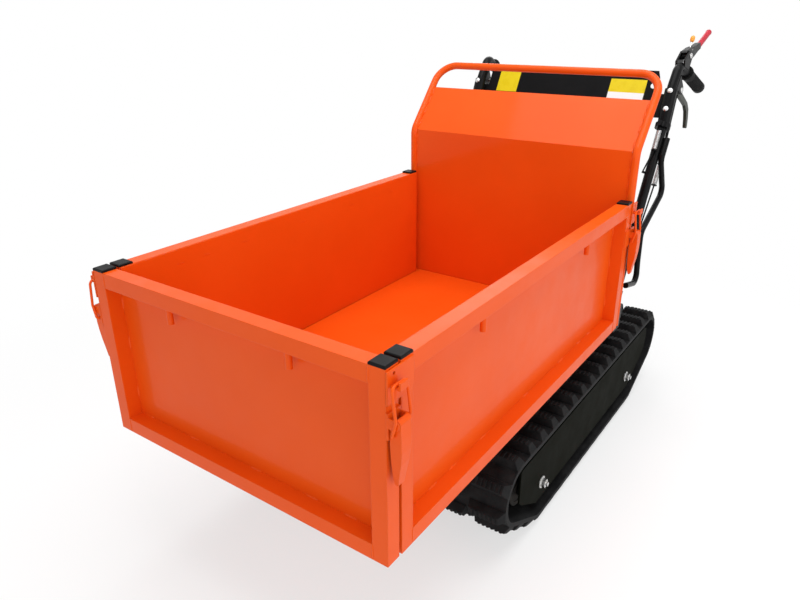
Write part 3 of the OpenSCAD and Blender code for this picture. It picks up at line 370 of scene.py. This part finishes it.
def makeBlankPlate():
    # blank yellow plates; the one near the left handle has a white foot
    mat, tree, skin = newFinish("blankPlate")
    where = objectPoint(tree)
    split = put(tree, "ShaderNodeSeparateXYZ", {"Vector": where})
    cloud = noiseOf(tree, where, *blankPlate["cloud"])
    patch = spread(tree, cloud, *blankPlate["cloudBand"])
    yellow = mixTone(tree, patch, blankPlate["deep"], blankPlate["yellow"])
    low = calc(tree, "LESS_THAN", split.outputs["Z"], blankPlate["stripTop"])
    foot = calc(tree, "MULTIPLY", low, calc(tree, "GREATER_THAN", split.outputs["Y"], 0.0))
    feed(tree, skin.inputs["Base Color"], mixTone(tree, foot, yellow, blankPlate["white"]))
    feed(tree, skin.inputs["Roughness"], spread(tree, cloud, *blankPlate["roughBand"]))
    skin.inputs["Specular IOR Level"].default_value = blankPlate["shine"]
    return mat


finishes = {
    "orangePowderCoat": makePowderCoat(),
    "blackPlastic": makePlastic(),
    "trackRubber": makeTrackRubber(),
    "gripRubber": makeGripRubber(),
    "driveLever": makeDriveLever(),
    "lockCatch": makeLockCatch(),
    "blankPlate": makeBlankPlate(),
}
finishes.update((name, makePaint(name)) for name in paints)
finishes.update((name, makeMetal(name)) for name in metals)

wearing = {
    "orangePowderCoat": [
        "bed_floor", "bed_subframe", "headboard_panel", "headboard_hoop", "headboard_catches",
        "front_gate_frame", "front_gate_panel", "front_latch_brackets",
        "left_gate_frame", "left_gate_panel", "left_gate_fittings",
        "right_gate_frame", "right_gate_panel", "right_gate_fittings",
        "latch_lever_fl", "latch_lever_fr", "latch_lever_rl", "latch_lever_rr",
        "latch_bail_fl", "latch_bail_fr", "latch_bail_rl", "latch_bail_rr"],
    "blackTubePaint": ["handlebars", "handle_braces", "handle_clamps", "control_cables"],
    "chassisPaint": ["chassis_frame", "track_beams"],
    "coverPaint": ["track_covers"],
    "dashPaint": ["dash_panel"],
    "leverPaint": ["steering_lever_left", "steering_lever_right"],
    "blackPlastic": ["front_gate_caps", "left_gate_caps", "right_gate_caps", "engine_cover",
                     "fuel_tank", "fuel_cap", "air_cleaner", "starter_handle"],
    "trackRubber": ["belt_left", "belt_right"],
    "gripRubber": ["grips"],
    "zincPlate": ["track_bolts", "handle_bolts", "control_springs"],
    "wheelIron": ["sprocket_left", "sprocket_right", "idler_left", "idler_right",
                  "roller_lf", "roller_lr", "roller_rf", "roller_rr"],
    "castAlloy": ["gearbox", "engine_block"],
    "exhaustSteel": ["muffler"],
    "driveLever": ["drive_lever"],
    "lockCatch": ["lock_catch"],
    "blankPlate": ["dash_plates"],
}
for finish, members in wearing.items():
    for member in members:
        mesh = nodes[member].data
        mesh.materials.clear()
        mesh.materials.append(finishes[finish])
print("finishes on", sum(len(v) for v in wearing.values()), "nodes")


# small helpers for building pieces

def skinBetween(bm, rings):
    # quads from each ring of points to the next
    for a, b in zip(rings, rings[1:]):
        for k in range(len(a)):
            after = (k + 1) % len(a)
            bm.faces.new((a[k], a[after], b[after], b[k]))


def pieceFrom(bm, name, finish, body, smooth=True):
    bmesh.ops.recalc_face_normals(bm, faces=bm.faces)
    mesh = bpy.data.meshes.new(name)
    bm.to_mesh(mesh)
    bm.free()
    for face in mesh.polygons:
        face.use_smooth = smooth
    mesh.materials.append(finishes[finish])
    piece = bpy.data.objects.new(name, mesh)
    scene.collection.objects.link(piece)
    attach(piece, body)


# weld beads and rows of short tacks

weldBead = {"radius": 0.0017, "step": 0.0016, "facets": 8, "leastRings": 6,
            "wide": 1.25, "tall": 0.55, "ripple": 0.22, "quickWave": 2.1, "slowWave": 0.37,
            "endSize": 0.35, "endGrowth": 4.0}
weldTack = {"size": 1.5, "length": 0.026, "stray": 0.06, "strayWave": 5.0}


def beadInto(bm, start, end, outward, size=1.0):
    # a flattened rippled bead lying on a face or in a corner
    run = end - start
    side = run.normalized().cross(outward)
    count = max(weldBead["leastRings"], int(run.length / weldBead["step"]))
    angles = [2 * math.pi * k / weldBead["facets"] for k in range(weldBead["facets"])]
    rings = []
    for i in range(count + 1):
        t = i / count
        wave = math.sin(i * weldBead["quickWave"]) * math.sin(i * weldBead["slowWave"] + 1.0)
        taper = min(1.0, weldBead["endSize"] + weldBead["endGrowth"] * min(t, 1 - t))
        r = weldBead["radius"] * size * (1.0 + weldBead["ripple"] * wave) * taper
        centre = start + run * t
        wide, tall = side * (r * weldBead["wide"]), outward * (r * weldBead["tall"])
        points = [centre + wide * math.cos(a) + tall * math.sin(a) for a in angles]
        rings.append([bm.verts.new(point) for point in points])
    skinBetween(bm, rings)
    bm.faces.new(rings[0][::-1])
    bm.faces.new(rings[-1])


def tackRow(bm, start, end, outward, count):
    # short beads spaced along a corner, each a little off its even place
    run = end - start
    half = run.normalized() * (weldTack["length"] / 2)
    for i in range(count):
        stray = weldTack["stray"] * math.sin(weldTack["strayWave"] * i + count)
        centre = start + run * ((i + 0.5) / count + stray)
        beadInto(bm, centre - half, centre + half, outward.normalized(), weldTack["size"])


# beads on the butt joints of the gate frames and tacks round their sheets

gateWeld = {"frontX": 0.8351, "frontSeamY": 0.309, "sideY": 0.340, "sideSeamX": (0.7691, -0.1789),
            "tube": 0.030, "low": 0.325, "high": 0.670, "inset": 0.001,
            "postTacks": 3, "frontTacks": 5, "sideTacks": 7}


def weldGates():
    tube, inset = gateWeld["tube"], gateWeld["inset"]
    low, high = gateWeld["low"] + tube, gateWeld["high"] - tube
    spans = ((gateWeld["low"] + inset, low), (high, gateWeld["high"] - inset))
    rails = ((low, 1), (high, -1))
    frontX, seamY = gateWeld["frontX"], gateWeld["frontSeamY"]
    sheetX = frontX - tube
    bm = bmesh.new()
    for sign in (-1, 1):
        y = sign * seamY
        for z0, z1 in spans:
            beadInto(bm, Vector((frontX, y, z0)), Vector((frontX, y, z1)), Vector((1, 0, 0)))
        tackRow(bm, Vector((sheetX, y, low)), Vector((sheetX, y, high)), Vector((1, -sign, 0)),
                gateWeld["postTacks"])
    for z, up in rails:
        tackRow(bm, Vector((sheetX, -seamY, z)), Vector((sheetX, seamY, z)), Vector((1, 0, up)),
                gateWeld["frontTacks"])
    pieceFrom(bm, "frontGateWelds", "orangePowderCoat", "front_gate")
    ends = gateWeld["sideSeamX"]
    for name, body, side in (("leftGateWelds", "left_gate", 1),
                             ("rightGateWelds", "right_gate", -1)):
        faceY = side * gateWeld["sideY"]
        sheetY = side * (gateWeld["sideY"] - tube)
        bm = bmesh.new()
        for x, inward in zip(ends, (-1, 1)):
            for z0, z1 in spans:
                beadInto(bm, Vector((x, faceY, z0)), Vector((x, faceY, z1)), Vector((0, side, 0)))
            tackRow(bm, Vector((x, sheetY, low)), Vector((x, sheetY, high)),
                    Vector((inward, side, 0)), gateWeld["postTacks"])
        for z, up in rails:
            tackRow(bm, Vector((ends[0], sheetY, z)), Vector((ends[1], sheetY, z)),
                    Vector((0, side, up)), gateWeld["sideTacks"])
        pieceFrom(bm, name, "orangePowderCoat", body)


# stitch welds between the headboard sheet and its hoop, above and below the bend

hoopWeld = {"edgeY": 0.3190, "sheetX": -0.22589, "bendZ": 0.793, "lowZ": 0.684, "leanDeg": 40.6,
            "reach": 0.146, "clear": 0.012, "lift": 0.0006, "upperTacks": 4, "lowerTacks": 3}


def weldHoop():
    tilt = math.radians(hoopWeld["leanDeg"])
    face = Vector((math.cos(tilt), 0, math.sin(tilt)))
    along = Vector((-math.sin(tilt), 0, math.cos(tilt)))
    lift = face * hoopWeld["lift"]
    bm = bmesh.new()
    for sign in (-1, 1):
        bend = Vector((hoopWeld["sheetX"], sign * hoopWeld["edgeY"], hoopWeld["bendZ"]))
        tackRow(bm, bend + along * hoopWeld["clear"] + lift,
                bend + along * hoopWeld["reach"] + lift, face, hoopWeld["upperTacks"])
        foot = Vector((bend.x, bend.y, hoopWeld["lowZ"]))
        tackRow(bm, foot, bend - Vector((0, 0, hoopWeld["clear"])), Vector((1, 0, 0)),
                hoopWeld["lowerTacks"])
    pieceFrom(bm, "hoopWelds", "orangePowderCoat", "bed")


weldGates()
weldHoop()
print("weld beads laid")


# moulded ribs across the lug tops of the belts

lugRib = {"topRun": 0.018, "slack": 0.0006, "leastSpan": 0.04, "sideways": 0.01, "ground": -0.95,
          "margin": 0.005, "step": 0.0105, "length": 0.0174, "width": 0.0046,
          "rise": 0.0022, "sink": 0.0009}


def lugTops(mesh):
    # flat lug tops off the ground: outward and running direction, middle, span across the belt
    tops = {}
    for face in mesh.polygons:
        out = face.normal.copy()
        if abs(out.y) > lugRib["sideways"] or out.z < lugRib["ground"]:
            continue
        along = out.cross(Vector((0, 1, 0)))
        points = [mesh.vertices[i].co for i in face.vertices]
        runs = [point.dot(along) for point in points]
        spans = [point.y for point in points]
        low, high = min(spans), max(spans)
        if abs(max(runs) - min(runs) - lugRib["topRun"]) > lugRib["slack"]:
            continue
        if high - low < lugRib["leastSpan"]:
            continue
        middle = along * ((max(runs) + min(runs)) / 2) + out * points[0].dot(out)
        # the triangles of one top share this key, to the millimetre
        key = tuple(round(v, 3) for v in (middle.x, middle.z, low))
        tops[key] = (out, along, middle, low, high)
    return tops.values()


def ribLugs(node, name):
    bm = bmesh.new()
    size = Matrix.Diagonal((lugRib["length"], lugRib["width"], lugRib["rise"] + lugRib["sink"], 1))
    total = 0
    for out, along, middle, low, high in lugTops(nodes[node].data):
        turn = Matrix((along, out.cross(along), out)).transposed().to_4x4()
        count = int((high - low - 2 * lugRib["margin"]) / lugRib["step"]) + 1
        first = (low + high - lugRib["step"] * (count - 1)) / 2
        for i in range(count):
            centre = middle + out * ((lugRib["rise"] - lugRib["sink"]) / 2)
            centre.y = first + i * lugRib["step"]
            bmesh.ops.create_cube(bm, size=1.0, matrix=Matrix.Translation(centre) @ turn @ size)
        total += count
    print(name, "has", total, "ribs")
    pieceFrom(bm, name, "trackRubber", "chassis", False)


ribLugs("belt_left", "leftBeltRibs")
ribLugs("belt_right", "rightBeltRibs")


# moulded rings round the waist of the grips

gripRing = {"start": (0.05693, 0.18054), "aim": (0.9927, 0.1208), "radius": 0.0160, "thick": 0.0013,
            "stretch": 1.5, "first": 0.037, "pitch": 0.0084, "count": 9, "around": 28, "section": 8}


def ringLoop(bm, centre, spoke, run):
    # one round section of a ring, drawn out along the grip
    loop = []
    for j in range(gripRing["section"]):
        turn = 2 * math.pi * j / gripRing["section"]
        outward = spoke * (gripRing["radius"] + gripRing["thick"] * math.cos(turn))
        sideways = run * (gripRing["thick"] * gripRing["stretch"] * math.sin(turn))
        loop.append(bm.verts.new(centre + outward + sideways))
    return loop


def ringGrips():
    bm = bmesh.new()
    for side in (1, -1):
        mirror = Vector((1, side, 1))
        run = (awayBar * gripRing["aim"][0] + alongBar * gripRing["aim"][1]) * mirror
        start = onHandle(*gripRing["start"]) * mirror
        first = run.orthogonal().normalized()
        second = run.cross(first)
        for i in range(gripRing["count"]):
            centre = start + run * (gripRing["first"] + i * gripRing["pitch"])
            loops = []
            for k in range(gripRing["around"]):
                angle = 2 * math.pi * k / gripRing["around"]
                spoke = first * math.cos(angle) + second * math.sin(angle)
                loops.append(ringLoop(bm, centre, spoke, run))
            skinBetween(bm, loops + loops[:1])
    pieceFrom(bm, "gripRings", "gripRubber", "chassis")


ringGrips()
print("rubber ribs and rings moulded")


# floor, light and camera

studio = {"floorTone": (0.93, 0.93, 0.93, 1), "floorRough": 0.9, "floorShine": 0.1,
          "floorSize": 9.0, "cells": 6, "drop": 0.0012,
          "fadeFrom": 0.9, "fadeTo": 1.9, "bare": 0.62, "fill": 0.46}


def makeFloor():
    # pale floor that keeps the shadow near the object and fades to white further out
    bm = bmesh.new()
    bmesh.ops.create_grid(bm, x_segments=studio["cells"], y_segments=studio["cells"],
                          size=studio["floorSize"])
    mesh = bpy.data.meshes.new("studioFloor")
    bm.to_mesh(mesh)
    bm.free()
    floor = bpy.data.objects.new("studioFloor", mesh)
    floor.location = (0, 0, -studio["drop"])
    scene.collection.objects.link(floor)
    mat, tree, skin = newFinish("paleFloor")
    skin.inputs["Base Color"].default_value = studio["floorTone"]
    skin.inputs["Roughness"].default_value = studio["floorRough"]
    skin.inputs["Specular IOR Level"].default_value = studio["floorShine"]
    paths = put(tree, "ShaderNodeLightPath")
    reach = put(tree, "ShaderNodeVectorMath", {0: objectPoint(tree)}, operation="LENGTH")
    fade = spread(tree, reach.outputs["Value"], studio["fadeFrom"], studio["fadeTo"],
                  studio["bare"])
    seen = calc(tree, "ADD", paths.outputs["Is Camera Ray"], paths.outputs["Is Glossy Ray"], True)
    white = put(tree, "ShaderNodeEmission", {"Color": (1, 1, 1, 1), "Strength": 1.0})
    join = put(tree, "ShaderNodeMixShader", {0: calc(tree, "MULTIPLY", fade, seen),
                                             1: skin.outputs["BSDF"], 2: white.outputs["Emission"]})
    tree.links.new(join.outputs["Shader"], tree.nodes["Material Output"].inputs["Surface"])
    mesh.materials.append(mat)


def makeWorld():
    # white to the eye and in reflections, a lower fill as light
    world = bpy.data.worlds.new("studioWorld")
    scene.world = world
    world.use_nodes = True
    tree = world.node_tree
    sky = tree.nodes["Background"]
    paths = put(tree, "ShaderNodeLightPath")
    seen = calc(tree, "ADD", paths.outputs["Is Camera Ray"], paths.outputs["Is Glossy Ray"], True)
    seen = calc(tree, "ADD", seen, paths.outputs["Is Transmission Ray"], True)
    sky.inputs["Color"].default_value = (1, 1, 1, 1)
    feed(tree, sky.inputs["Strength"], spread(tree, seen, 0, 1, studio["fill"]))


lamps = {
    "topSoftbox": {"place": (0.15, 0.2, 3.4), "aim": (0.1, 0, 0.4),
                   "size": (2.8, 2.8), "power": 90},
    "frontSoftbox": {"place": (3.4, 1.2, 1.1), "aim": (0.3, 0, 0.45),
                     "size": (3.0, 2.2), "power": 20},
    "leftSoftbox": {"place": (0.6, 3.4, 1.5), "aim": (0, 0, 0.4),
                    "size": (3.6, 2.4), "power": 38},
    "rearRim": {"place": (-3.0, -1.4, 2.4), "aim": (-0.2, 0, 0.6),
                "size": (1.6, 1.6), "power": 18},
}


def addLamp(name):
    lamp = lamps[name]
    light = bpy.data.lights.new(name, "AREA")
    light.shape = "RECTANGLE"
    light.size, light.size_y = lamp["size"]
    light.energy = lamp["power"]
    holder = bpy.data.objects.new(name, light)
    holder.location = lamp["place"]
    reach = Vector(lamp["aim"]) - Vector(lamp["place"])
    holder.rotation_euler = reach.to_track_quat("-Z", "Y").to_euler()
    scene.collection.objects.link(holder)


viewpoint = {"place": (1.47157, 0.81302, 1.10817), "look": (-0.75228, -0.53081, -0.39028),
             "rollDeg": -0.3055, "lensMm": 30.3425, "sensorMm": 36.0, "clipStart": 0.02}


def makeCamera():
    data = bpy.data.cameras.new("photoCamera")
    data.sensor_fit = "HORIZONTAL"
    data.sensor_width = viewpoint["sensorMm"]
    data.lens = viewpoint["lensMm"]
    data.clip_start = viewpoint["clipStart"]
    camera = bpy.data.objects.new("photoCamera", data)
    look = Vector(viewpoint["look"]).normalized()
    right = look.cross(Vector((0, 0, 1))).normalized()
    up = right.cross(look)
    roll = math.radians(viewpoint["rollDeg"])
    tilted = right * math.cos(roll) + up * math.sin(roll)
    turn = Matrix((tilted, tilted.cross(look), -look)).transposed().to_4x4()
    camera.matrix_world = Matrix.Translation(Vector(viewpoint["place"])) @ turn
    scene.collection.objects.link(camera)
    scene.camera = camera


makeFloor()
makeWorld()
for name in lamps:
    addLamp(name)
makeCamera()
print("studio ready")
